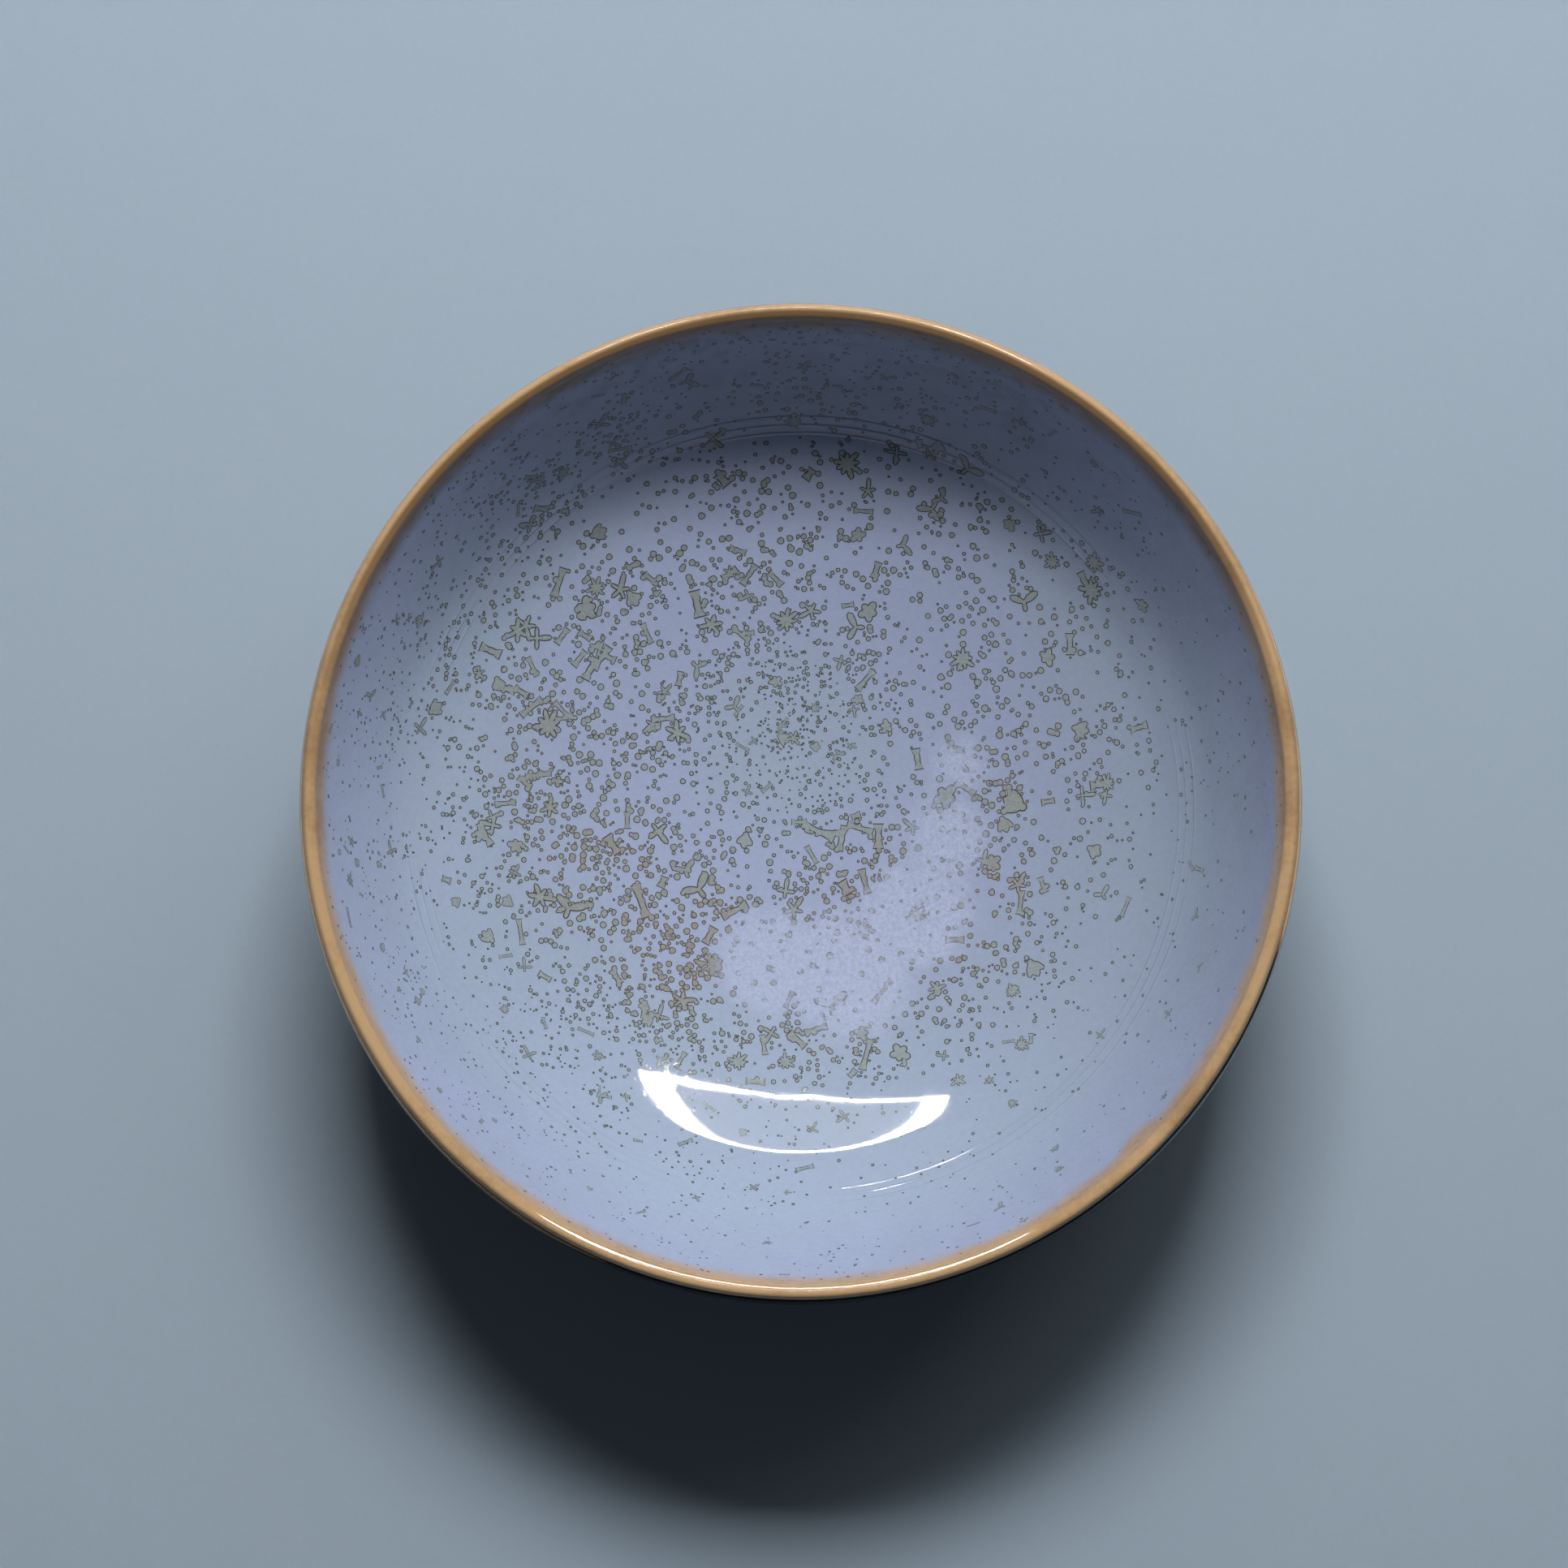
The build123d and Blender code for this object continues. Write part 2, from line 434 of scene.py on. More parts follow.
def radial_curve(distance, reach, points):
    """A value that changes with distance: pairs of distance and value, joined smoothly."""
    node = place(distance.tree, "ShaderNodeFloatCurve", {"Value": distance / reach})
    curve = node.mapping.curves[0]
    for index, (where, value) in enumerate(points):
        if index < 2:
            curve.points[index].location = (where / reach, value)
        else:
            curve.points.new(where / reach, value)
    node.mapping.update()
    return Value(node.outputs[0])


def flat_distance(position, middle=(0.0, 0.0)):
    """Distance from an upright line through the middle."""
    flat = vector_calc("MULTIPLY", position, (1, 1, 0))
    return vector_calc("DISTANCE", flat, (*middle, 0))


def painted_reflection_share(position):
    """How much of the pale painted reflection is at a place, 0 to 1, with a frayed edge."""
    fray = (noise(position, 260.0, 4.0, 0.65) - 0.5) * (7.0 * MM)
    share = None
    for x, y, radius in PAINTED_REFLECTION_PATCHES:
        away = flat_distance(position, (x, y)) + fray
        patch = ease(away, radius + 4.5 * MM, radius - 5.5 * MM)
        share = patch if share is None else calc("SMOOTH_MAX", share, patch, 0.5)
    return ease(share, 0.15, 1.0)


# ---------------------------------------------------------------- section

def crossing(first, first_radius, second, second_radius):
    """Where two circles cross, left of the way from the first centre to the second."""
    apart = second - first
    along = (first_radius ** 2 - second_radius ** 2 + apart.length_squared) / (2 * apart.length)
    across = math.sqrt(first_radius ** 2 - along ** 2)
    direction = apart.normalized()
    return first + direction * along + Vector((-direction.y, direction.x)) * across


def arc(centre, radius, start, end, longest):
    """Points of an arc between two directions from its centre."""
    first = math.atan2(start.y, start.x)
    last = math.atan2(end.y, end.x)
    turn = (last - first + math.pi) % (2 * math.pi) - math.pi
    count = max(2, math.ceil(abs(turn) * radius / longest))
    angles = [first + turn * step / count for step in range(count + 1)]
    return [centre + Vector((math.cos(a), math.sin(a))) * radius for a in angles]


def rolled(sizes, point, lip_centre):
    """A point of the lip's round moved out, so that its top is flatter and leans inwards.
    The glaze's roll fades out down the inside of the wall."""
    spoke = point - lip_centre
    around = math.atan2(spoke.y, spoke.x) - math.pi / 2 - sizes.lip_tilt
    quarter = math.pi / 4
    lift = sizes.lip_flat * (1 - math.cos(4 * around)) / 2
    if around > quarter:
        down = max(0.0, (lip_centre.y - point.y) / ROLL_FADE)
        lift = sizes.lip_flat * max(0.0, 1 - down) ** 2
    if around < -2 * quarter or around < 0 and spoke.length > sizes.lip:
        lift = 0.0
    return point + spoke.normalized() * lift * sizes.lip / 2


def outline(sizes, depth, coarse):
    """The section's edge a depth inside the glaze: the outside, up from the foot to the
    top of the lip, and the inside, from there to the middle of the floor."""
    step = 0.8 * MM * coarse
    corner_reach = sizes.rim_radius - sizes.wall_lean
    floor_sweep = (corner_reach ** 2 + sizes.floor_rise ** 2) / (2 * sizes.floor_rise)
    floor_centre = Vector((0, sizes.floor_height + floor_sweep))
    corner = Vector((corner_reach, sizes.floor_height + sizes.floor_rise))
    lip_radius = sizes.lip / 2
    lip_centre = Vector((sizes.rim_radius - lip_radius, sizes.height - lip_radius))
    wall_centre = crossing(
        corner, sizes.wall_sweep, lip_centre, sizes.wall_sweep + lip_radius)
    corner_centre = crossing(
        floor_centre, floor_sweep - sizes.corner_radius,
        wall_centre, sizes.wall_sweep - sizes.corner_radius)

    bead_x = sizes.bead_reach - sizes.bead_radius
    to_bead = sizes.wall_sweep + sizes.wall - sizes.bead_radius
    bead_centre = Vector((
        bead_x, wall_centre.y - math.sqrt(to_bead ** 2 - (bead_x - wall_centre.x) ** 2)))
    swell = sizes.bead_reach - lip_centre.x
    rise = lip_centre.y - bead_centre.y
    top_sweep = (swell ** 2 - lip_radius ** 2 + rise ** 2) / (2 * (swell - lip_radius))
    top_centre = Vector((sizes.bead_reach - top_sweep, bead_centre.y))

    under = sizes.wall - depth
    root = sizes.foot_root + depth
    lean = Vector((math.sin(sizes.foot_draft), math.cos(sizes.foot_draft)))
    out = Vector((lean.y, -lean.x))
    foot = Vector((sizes.foot_radius - depth, 0))
    beside = foot + out * root - floor_centre
    reach = floor_sweep + under + root
    part = beside.dot(lean)
    root_centre = foot + out * root + lean * (
        -part - math.sqrt(part ** 2 - beside.length_squared + reach ** 2))
    flank_start = foot + lean * (sizes.bare_foot / lean.y)

    outside = [flank_start]
    outside += arc(root_centre, root, -out, floor_centre - root_centre, step / 2)
    outside += arc(floor_centre, floor_sweep + under, root_centre - floor_centre,
                   corner_centre - floor_centre, step * 1.5)[1:]
    outside += arc(corner_centre, sizes.corner_radius + under, corner_centre - floor_centre,
                   corner_centre - wall_centre, step * 1.5)[1:]
    outside += arc(wall_centre, sizes.wall_sweep + under, corner_centre - wall_centre,
                   bead_centre - wall_centre, step * 1.5)[1:]
    outside += arc(bead_centre, sizes.bead_radius - depth, bead_centre - wall_centre,
                   Vector((1, 0)), step / 2)[1:]
    outside += arc(top_centre, top_sweep - depth, Vector((1, 0)),
                   lip_centre - top_centre, step / 2)[1:]
    outside += arc(lip_centre, lip_radius - depth, lip_centre - top_centre,
                   Vector((0, 1)), step / 10)[1:]
    inside = arc(lip_centre, lip_radius - depth, Vector((0, 1)),
                 wall_centre - lip_centre, step / 10)
    inside += arc(wall_centre, sizes.wall_sweep + depth, lip_centre - wall_centre,
                  corner_centre - wall_centre, step)[1:]
    if depth == 0:
        outside = [rolled(sizes, point, lip_centre) for point in outside]
        inside = [rolled(sizes, point, lip_centre) for point in inside]
    inside += arc(corner_centre, sizes.corner_radius + depth, corner_centre - wall_centre,
                  corner_centre - floor_centre, step / 1.6)[1:]
    inside += arc(floor_centre, floor_sweep + depth, corner_centre - floor_centre,
                  Vector((0, -1)), step)[1:]
    inside[-1].x = 0.0
    return outside, inside


def cut(points, height):
    """A rising or falling run of points cut in two at a height, the cut point in both."""
    for index in range(len(points) - 1):
        low, high = sorted((points[index].y, points[index + 1].y))
        if low <= height <= high and high > low:
            share = (height - points[index].y) / (points[index + 1].y - points[index].y)
            where = points[index].lerp(points[index + 1], share)
            return points[:index + 1] + [where], [where] + points[index + 1:]
    raise ValueError(f"the section doesn't pass a height of {height} m")


def coat_sections(sizes):
    """Closed sections of the three coats, and the open line of the inside's face."""
    face_out, face_in = outline(sizes, 0.0, 1.0)
    clay_out, clay_in = outline(sizes, sizes.coat, 2.5)
    outside_cut = sizes.height - sizes.band_outside
    inside_cut = sizes.height - sizes.band_inside
    face_low, face_rim_out = cut(face_out, outside_cut)
    clay_low, clay_rim_out = cut(clay_out, outside_cut)
    face_rim_in, face_floor = cut(face_in, inside_cut)
    clay_rim_in, clay_floor = cut(clay_in, inside_cut)
    rim = face_rim_out + face_rim_in[1:] + (clay_rim_out + clay_rim_in[1:])[::-1]
    return {
        "outer": face_low + clay_low[::-1],
        "rim": rim,
        "inner": face_floor + clay_floor[::-1],
        "face": face_floor,
    }


def section_object(name, points, closed):
    """A helper that holds a section as a row of points, across in X and up in Z."""
    mesh = bpy.data.meshes.new(name)
    row = [(p.x, 0.0, p.y) for p in points]
    if closed:
        row.append(row[0])
    mesh.from_pydata(row, [(i, i + 1) for i in range(len(row) - 1)], [])
    helper = bpy.data.objects.new(name, mesh)
    bpy.context.scene.collection.objects.link(helper)
    return helper


# ---------------------------------------------------------------- turned coats

def turning_tree():
    """Geometry nodes that turn a section about the bowl's axis and wave its face."""
    tree, given, result = new_tree("Turned coat", "GeometryNodeTree", (
        ("Section", "Object", None), ("Rows", "Int", 2), ("Steps around", "Int", 384),
        ("Waviness", "Float", 0.0), ("Wave size", "Float", 0.02), ("Lip height", "Float", 0.06),
        ("Swell", "Float", 0.0), ("Swell angle", "Float", 0.0),
        ("Material", "Material", None)), (("Geometry", "Geometry"),))
    row = made(tree, "GeometryNodeObjectInfo", {"Object": given["Section"]}, "Geometry")
    grid = made(tree, "GeometryNodeMeshGrid", {
        "Size X": 1.0, "Size Y": 1.0, "Vertices X": given["Steps around"] + 1.0,
        "Vertices Y": given["Rows"]}, "Mesh")
    across, along, _ = axes(made(tree, "GeometryNodeInputPosition"))
    index = calc("ROUND", (along + 0.5) * (given["Rows"] - 1.0))
    angle = (across + 0.5) * (2 * math.pi)
    sample = place(tree, "GeometryNodeSampleIndex", data_type="FLOAT_VECTOR")
    for name, value in (("Geometry", row), ("Index", index),
                        ("Value", made(tree, "GeometryNodeInputPosition"))):
        fill(sample.inputs[name], value)
    reach, _, height = axes(Value(sample.outputs[0]))
    turned = made(tree, "ShaderNodeCombineXYZ", {
        "X": reach * calc("COSINE", angle), "Y": reach * calc("SINE", angle), "Z": height})
    shape = made(tree, "GeometryNodeSetPosition", {"Geometry": grid, "Position": turned})
    closed = made(tree, "GeometryNodeMergeByDistance", {
        "Geometry": shape, "Distance": 0.002 * MM})

    position = made(tree, "GeometryNodeInputPosition")
    x, y, z = axes(position)
    wave = noise(position, calc("DIVIDE", 1.0, given["Wave size"]), 1.0) - 0.5
    calm = ease(given["Lip height"] - z, 1 * MM, 12 * MM, 0.15, 1.0)
    lift = scaled(made(tree, "GeometryNodeInputNormal"), wave * calm * given["Waviness"])
    bearing = calc("ARCTAN2", y, x)
    facing = calc("COSINE", bearing - given["Swell angle"])
    push = (facing * 0.5 + 0.5) * given["Swell"]
    away = made(tree, "ShaderNodeCombineXYZ", {
        "X": push * calc("COSINE", bearing), "Y": push * calc("SINE", bearing)})
    moved = made(tree, "GeometryNodeSetPosition", {
        "Geometry": closed, "Offset": vector_calc("ADD", lift, away)})
    smooth = made(tree, "GeometryNodeSetShadeSmooth", {"Geometry": moved})
    real = made(tree, "GeometryNodeRealizeInstances", {"Geometry": smooth})
    fill(result[0], made(tree, "GeometryNodeSetMaterial", {
        "Geometry": real, "Material": given["Material"]}))
    return tree


def run_tree(tree, name, values):
    """Run a geometry tree with its named inputs on an empty mesh and keep the plain result."""
    holder = bpy.data.objects.new(name + "_holder", bpy.data.meshes.new(name))
    bpy.context.scene.collection.objects.link(holder)
    modifier = holder.modifiers.new("Nodes", "NODES")
    modifier.node_group = tree
    sockets = {item.name: item.identifier for item in tree.interface.items_tree
               if item.in_out == "INPUT"}
    for label, value in values.items():
        modifier[sockets[label]] = value
    holder.update_tag()
    bpy.context.view_layer.update()
    evaluated = holder.evaluated_get(bpy.context.evaluated_depsgraph_get())
    mesh = bpy.data.meshes.new_from_object(evaluated)
    mesh.name = name
    bpy.data.objects.remove(holder)
    if not mesh.polygons:
        raise RuntimeError(f"{name} came out empty")
    piece = bpy.data.objects.new(name, mesh)
    bpy.context.scene.collection.objects.link(piece)
    return piece


def turn_coat(name, points, closed, material, swell=0.0):
    """One turned coat of glaze, or the inside's face on its own."""
    sizes = bpy.context.scene.bowl_sizes
    tree = bpy.data.node_groups.get("Turned coat") or turning_tree()
    section = section_object(name + "_section", points, closed)
    piece = run_tree(tree, name, {
        "Section": section, "Rows": len(section.data.vertices),
        "Steps around": sizes.steps, "Waviness": sizes.waviness,
        "Wave size": sizes.wave_size, "Lip height": sizes.height, "Swell": swell,
        "Swell angle": sizes.swell_angle, "Material": material})
    bpy.data.objects.remove(section)
    piece.data.set_sharp_from_angle(angle=math.radians(40))
    return piece


# ---------------------------------------------------------------- crystals

def crystal_outlines():
    """Outlines of the crystals' shapes, in millimetres, each seen from its middle."""
    dice = random.Random(11)
    bones = []
    for length, width in ((4.2, 0.30), (3.2, 0.34), (2.4, 0.34), (5.0, 0.28), (1.8, 0.42),
                          (3.6, 0.26)):
        half = length / 2
        side = []
        for step in range(9):
            x = half * (-1 + step / 4)
            flare = 0.36 * (abs(x) / half) ** 4
            side.append((x, width + flare + dice.uniform(-0.06, 0.06)))
        bones.append([(x, -y) for x, y in side] + [(x, y) for x, y in reversed(side)])
    figures = [polar(lobed(dice, *facts)) for facts in (
        (4, 0.24, 2.3, 6.0), (4, 0.28, 1.9, 5.0), (3, 0.28, 2.0, 5.0), (5, 0.34, 1.9, 4.0),
        (6, 0.45, 1.6, 2.2), (9, 0.70, 1.4, 1.3), (5, 0.75, 0.8, 1.0))]
    fans = []
    for lobes, reach in ((5, 2.2), (4, 1.8)):
        radii = []
        for a in angles(36):
            turn = (a + math.pi) % (2 * math.pi) - math.pi
            spread = max(0.0, 1 - abs(turn / 1.15) ** 4)
            radii.append(0.42 + reach * spread * (0.62 + 0.38 * abs(math.cos(lobes * turn))))
        fans.append(polar(radii))
    dot = polar([1.0 + 0.04 * math.sin(3 * a) for a in angles(12)])
    return {"dot": [dot], "figure": bones + figures + fans}


def lobed(dice, arms, core, reach, sharp):
    """Distances from the middle of a shape with arms of uneven lengths."""
    ends = [reach * dice.uniform(0.45, 1.15) for _ in range(arms)]
    radii = []
    for a in angles(48):
        lobe = abs(math.cos(arms * a / 2)) ** sharp
        radii.append(core + ends[round(arms * a / (2 * math.pi)) % arms] * lobe)
    return radii


def angles(count):
    """Evenly spaced directions around a circle."""
    return [2 * math.pi * step / count for step in range(count)]


def polar(radii):
    """Points around the middle at these distances."""
    return [(r * math.cos(a), r * math.sin(a)) for a, r in zip(angles(len(radii)), radii)]


def grow(points, width):
    """An outline moved outwards by a width."""
    grown = []
    for index, point in enumerate(points):
        before = Vector(points[index - 1])
        after = Vector(points[(index + 1) % len(points)])
        way = (after - before).normalized()
        grown.append(Vector(point) + Vector((way.y, -way.x)) * width)
    return grown


def plate(name, points, scale, collection):
    """A thin closed plate with this outline: its top lies over the glaze, its point under it."""
    rim = [(x * scale, y * scale, 0.0) for x, y in points]
    count = len(rim)
    vertices = rim + [(0.0, 0.0, 0.0), (0.0, 0.0, -0.1 * MM)]
    faces = []
    for index in range(count):
        after = (index + 1) % count
        faces.append((index, after, count))
        faces.append((after, index, count + 1))
    mesh = bpy.data.meshes.new(name)
    mesh.from_pydata(vertices, [], faces)
    level = mesh.attributes.new("level", "FLOAT", "POINT")
    level.data.foreach_set("value", [1.0] * (count + 1) + [-1.0])
    shape = bpy.data.objects.new(name, mesh)
    collection.objects.link(shape)


def shape_collection(name, outlines, width):
    """A collection of plates, each grown by a width in millimetres."""
    collection = bpy.data.collections.new(name)
    bpy.context.scene.collection.children.link(collection)
    for index, points in enumerate(outlines):
        plate(f"{name}_{index:02d}", grow(points, width) if width else points, MM, collection)
    return collection


def lot(tree, seed):
    """A random number from 0 to 1 for each point."""
    node = place(tree, "FunctionNodeRandomValue", {"Seed": seed}, data_type="FLOAT")
    return Value(next(output for output in node.outputs if output.enabled))


def crystal_crowding(position, density):
    """How many crystals lie on a square metre at a place."""
    far = 100 * MM
    crowd = radial_curve(flat_distance(position, EYE), far, (
        (0.0, 0.90), (far, 0.05), (6 * MM, 0.62), (12 * MM, 0.42), (22 * MM, 0.38),
        (35 * MM, 0.38), (46 * MM, 0.34), (58 * MM, 0.34), (68 * MM, 0.20),
        (80 * MM, 0.09)))
    patches = ease(noise(position, 62.0, 3.0, 0.6), 0.30, 0.70, 0.25, 1.75, "LINEAR")
    # Fewer crystals under the pale painted reflection
    clear = ease(painted_reflection_share(position), 0.0, 1.0, 1.0, 0.35, "LINEAR")
    across, along, _ = axes(position)
    right = ease(across, 25 * MM, 75 * MM, 1.0, 0.45)
    left = ease(across, -20 * MM, 15 * MM, 1.25, 0.9)
    back = ease(along, 15 * MM, 60 * MM, 1.0, 0.6)
    front = ease(along, -25 * MM, -45 * MM, 1.0, 1.25)
    for share in (crowd / 0.38, patches, clear, right, left, back * front):
        density = density * share
    return density


def crystal_size(tree, position, given):
    """Random size of a crystal, small by the eye and largest in the ring around it."""
    far = 100 * MM
    bulk = radial_curve(flat_distance(position, EYE), far, (
        (0.0, 0.50), (far, 0.40), (11 * MM, 0.58), (20 * MM, 0.86), (30 * MM, 0.98),
        (45 * MM, 0.96), (58 * MM, 0.84), (72 * MM, 0.54)))
    chance = calc("POWER", lot(tree, given["Seed"]), 1.5)
    varied = (chance - 0.4) * given["Spread"] + 1.0
    return calc("MAXIMUM", varied * bulk * given["Size"] + given["Added size"], 0.03)


def laid_on(tree, face, crystals, height):
    """Crystals laid on the face: every point moved to the nearest place on it, then up."""
    nearest = []
    for kind in ("GeometryNodeInputPosition", "GeometryNodeInputNormal"):
        near = place(tree, "GeometryNodeSampleNearestSurface", data_type="FLOAT_VECTOR")
        fill(near.inputs["Mesh"], face)
        fill(near.inputs["Value"], made(tree, kind))
        nearest.append(Value(near.outputs[0]))
    where, upright = nearest
    level = made(tree, "GeometryNodeInputNamedAttribute", {"Name": "level"}, "Attribute",
                 data_type="FLOAT")
    return made(tree, "GeometryNodeSetPosition", {
        "Geometry": crystals,
        "Position": vector_calc("ADD", where, scaled(upright, level * height))})


def scatter_tree():
    """Geometry nodes that strew flat crystals over the inside's face and lay them on it."""
    tree, given, result = new_tree("Strewn crystals", "GeometryNodeTree", (
        ("Face", "Object", None), ("Shapes", "Collection", None),
        ("Density", "Float", 100000.0), ("Size", "Float", 1.0), ("Added size", "Float", 0.0),
        ("Spread", "Float", 0.5), ("Level", "Float", 0.00001), ("Seed", "Int", 0),
        ("Material", "Material", None)), (("Geometry", "Geometry"),))
    face = made(tree, "GeometryNodeObjectInfo", {"Object": given["Face"]}, "Geometry")
    position = made(tree, "GeometryNodeInputPosition")
    seed = given["Seed"]
    points = place(tree, "GeometryNodeDistributePointsOnFaces", {
        "Mesh": face, "Density": crystal_crowding(position, given["Density"]),
        "Seed": seed}, distribute_method="RANDOM").outputs
    about = made(tree, "FunctionNodeAxisAngleToRotation", {
        "Axis": (0.0, 0.0, 1.0), "Angle": lot(tree, seed + 5.0) * (2 * math.pi)})
    rotation = made(tree, "FunctionNodeRotateRotation", {
        "Rotation": Value(points["Rotation"]), "Rotate By": about}, rotation_space="LOCAL")
    shapes = made(tree, "GeometryNodeCollectionInfo", {
        "Collection": given["Shapes"], "Separate Children": True, "Reset Children": True})
    which = calc("FLOOR", lot(tree, seed + 9.0) * 1000.0)
    placed = made(tree, "GeometryNodeInstanceOnPoints", {
        "Points": Value(points["Points"]), "Instance": shapes, "Pick Instance": True,
        "Instance Index": which, "Rotation": rotation,
        "Scale": crystal_size(tree, position, given)})
    real = made(tree, "GeometryNodeRealizeInstances", {"Geometry": placed})
    laid = laid_on(tree, face, real, given["Level"])
    fill(result[0], made(tree, "GeometryNodeSetMaterial", {
        "Geometry": laid, "Material": given["Material"]}))
    return tree


# ---------------------------------------------------------------- surface groups

def object_place(tree):
    """The place on the bowl that is being coloured."""
    return made(tree, "ShaderNodeTexCoord", output="Object")


def ground_group():
    """Colour of the inside glaze: lavender and blue-green in soft patches, darker towards the
    right and lighter towards the left and the front, with painted shade at the back of the wall
    and a pale painted reflection.
    """
    tree, given, result = new_tree("Inside glaze colour", "ShaderNodeTree", (
        ("Lavender", "Color", None), ("Blue-green", "Color", None), ("Painted reflection", "Color", None)),
        (("Color", "Color"), ("Reflection share", "Float")))
    here = object_place(tree)
    from_eye = flat_distance(here, EYE)
    ring = ease(from_eye, 8 * MM, 26 * MM) * ease(from_eye, 62 * MM, 34 * MM)
    broad = noise(here, 34.0, 3.0, 0.55)
    wall = ease(flat_distance(here), 68 * MM, 81 * MM, 0.0, 0.30)
    share = ring * 0.50 + wall + broad * 0.62
    base = blend(ease(share, 0.28, 0.80), given["Blue-green"], given["Lavender"])
    across, along, _ = axes(here)
    # Darker towards the right, lighter towards the left and the front
    right = ease(across, -20 * MM, 75 * MM, 1.03, 0.90)
    left = ease(across, -50 * MM, -80 * MM, 1.0, 1.17)
    front = ease(along, -20 * MM, -75 * MM, 1.0, 1.12)
    # Painted shade: the back of the wall, which lies in the lamp's shadow, is darkened in the
    # colour
    back = ease(along, 46 * MM, 76 * MM, 1.0, 0.70)
    fine = ease(noise(here, 900.0, 3.0, 0.6), 0.3, 0.7, 0.965, 1.035, "LINEAR")
    grain_and_painted_shade = scaled(base, right * front * back * left * fine)
    # A pale painted reflection laid over the glaze, streaked with fibres
    reflection_share = painted_reflection_share(here)
    fibre = ease(noise(here, 1500.0, 4.0, 0.8), 0.38, 0.60, 0.25, 1.0)
    fill(result["Color"], blend(reflection_share * fibre, grain_and_painted_shade, given["Painted reflection"]))
    fill(result["Reflection share"], reflection_share)
    return tree


def honey_group():
    """Colour of glaze that has run thin: honey with umber streaks, and darker inside the lip
    at the back, as painted shade."""
    tree, given, result = new_tree("Thin glaze colour", "ShaderNodeTree", (
        ("Honey", "Color", None), ("Umber", "Color", None),
        ("Rim radius", "Float", 0.085)), (("Color", "Color"),))
    here = object_place(tree)
    streak = noise(here, 45.0, 3.0, 0.55) * 0.7 + noise(here, 700.0, 3.0, 0.6) * 0.3
    streaked = blend(ease(streak, 0.42, 0.72, 0.0, 0.6), given["Honey"], given["Umber"])
    inwards = flat_distance(here) - given["Rim radius"]
    _, along, _ = axes(here)
    # Painted shade: the inside of the lip at the back, out of the lamp's light, darkened towards
    # umber
    painted_shade_in_lip = ease(inwards, -0.8 * MM, -1.6 * MM) * ease(along, 5 * MM, 55 * MM, 0.0, 0.8)
    fill(result["Color"], blend(painted_shade_in_lip, streaked, scaled(given["Umber"], 0.6)))
    return tree


def break_group():
    """How well glaze covers the clay at a place: 0 where it runs thin by the lip, 1 lower."""
    tree, given, result = new_tree("Glaze break", "ShaderNodeTree", (
        ("Lip height", "Float", 0.06), ("Start", "Float", 0.001), ("End", "Float", 0.004),
        ("Ragged", "Float", 0.001), ("Run", "Float", 0.0)), (("Cover", "Float"),))
    here = object_place(tree)
    _, _, height = axes(here)
    wander = (noise(here, 120.0, 4.0, 0.6) - 0.5) * given["Ragged"]
    runs = ease(flat_distance(here, RUN_SPOT), 6 * MM, 1 * MM) * given["Run"]
    depth = given["Lip height"] - height + wander - runs
    fill(result["Cover"], ease(depth, given["Start"], given["End"]))
    return tree


def gloss_group():
    """Fine surface of a glaze: slight pits and ripples for a bump, and a slight dulling."""
    tree, given, result = new_tree("Glaze surface", "ShaderNodeTree", (
        ("Gloss", "Float", 0.08), ("Dulling", "Float", 0.05)),
        (("Roughness", "Float"), ("Height", "Float")))
    here = object_place(tree)
    pits = ease(noise(here, 1300.0, 2.0, 0.5), 0.24, 0.32)
    fill(result["Height"], noise(here, 420.0, 3.0, 0.5) * 0.7 + pits * 0.3)
    worn = noise(here, 75.0, 4.0, 0.6) * given["Dulling"]
    fill(result["Roughness"], worn + given["Gloss"])
    return tree


def use_group(tree, name, build, inputs):
    """A shared group, built the first time, placed in a material with its own values."""
    group = bpy.data.node_groups.get(name) or build()
    node = place(tree, "ShaderNodeGroup", node_tree=group)
    for label, value in inputs.items():
        fill(node.inputs[label], value)
    return {output.name: Value(output) for output in node.outputs}


def use_ground(tree):
    """The inside glaze's colour and cloud."""
    colours = bpy.context.scene.bowl_colours
    return use_group(tree, "Inside glaze colour", ground_group, {
        "Lavender": tuple(colours.lavender), "Blue-green": tuple(colours.blue_green),
        "Painted reflection": tuple(colours.painted_reflection_colour)})


def use_honey(tree):
    """The thin glaze's colour."""
    scene = bpy.context.scene
    return use_group(tree, "Thin glaze colour", honey_group, {
        "Honey": tuple(scene.bowl_colours.honey), "Umber": tuple(scene.bowl_colours.umber),
        "Rim radius": scene.bowl_sizes.rim_radius})["Color"]


def use_break(tree, start, end, ragged, run):
    """How well glaze covers the clay, between two depths below the lip."""
    return use_group(tree, "Glaze break", break_group, {
        "Lip height": bpy.context.scene.bowl_sizes.height, "Start": start, "End": end,
        "Ragged": ragged, "Run": run})["Cover"]


# ---------------------------------------------------------------- materials

def new_material(name):
    """A material with only its output and a shader, joined."""
    material = bpy.data.materials.new(name)
    material.use_nodes = True
    tree = material.node_tree
    tree.nodes.clear()
    shader = place(tree, "ShaderNodeBsdfPrincipled")
    output = place(tree, "ShaderNodeOutputMaterial")
    tree.links.new(shader.outputs[0], output.inputs["Surface"])
    return material, tree, shader


def bump(tree, shader, depth, height, strength=1.0, **before):
    """A bump on a shader, over an earlier one if given."""
    raised = made(tree, "ShaderNodeBump", {
        "Strength": strength, "Distance": depth, "Height": height, **before})
    fill(shader.inputs["Normal"], raised)
    return raised


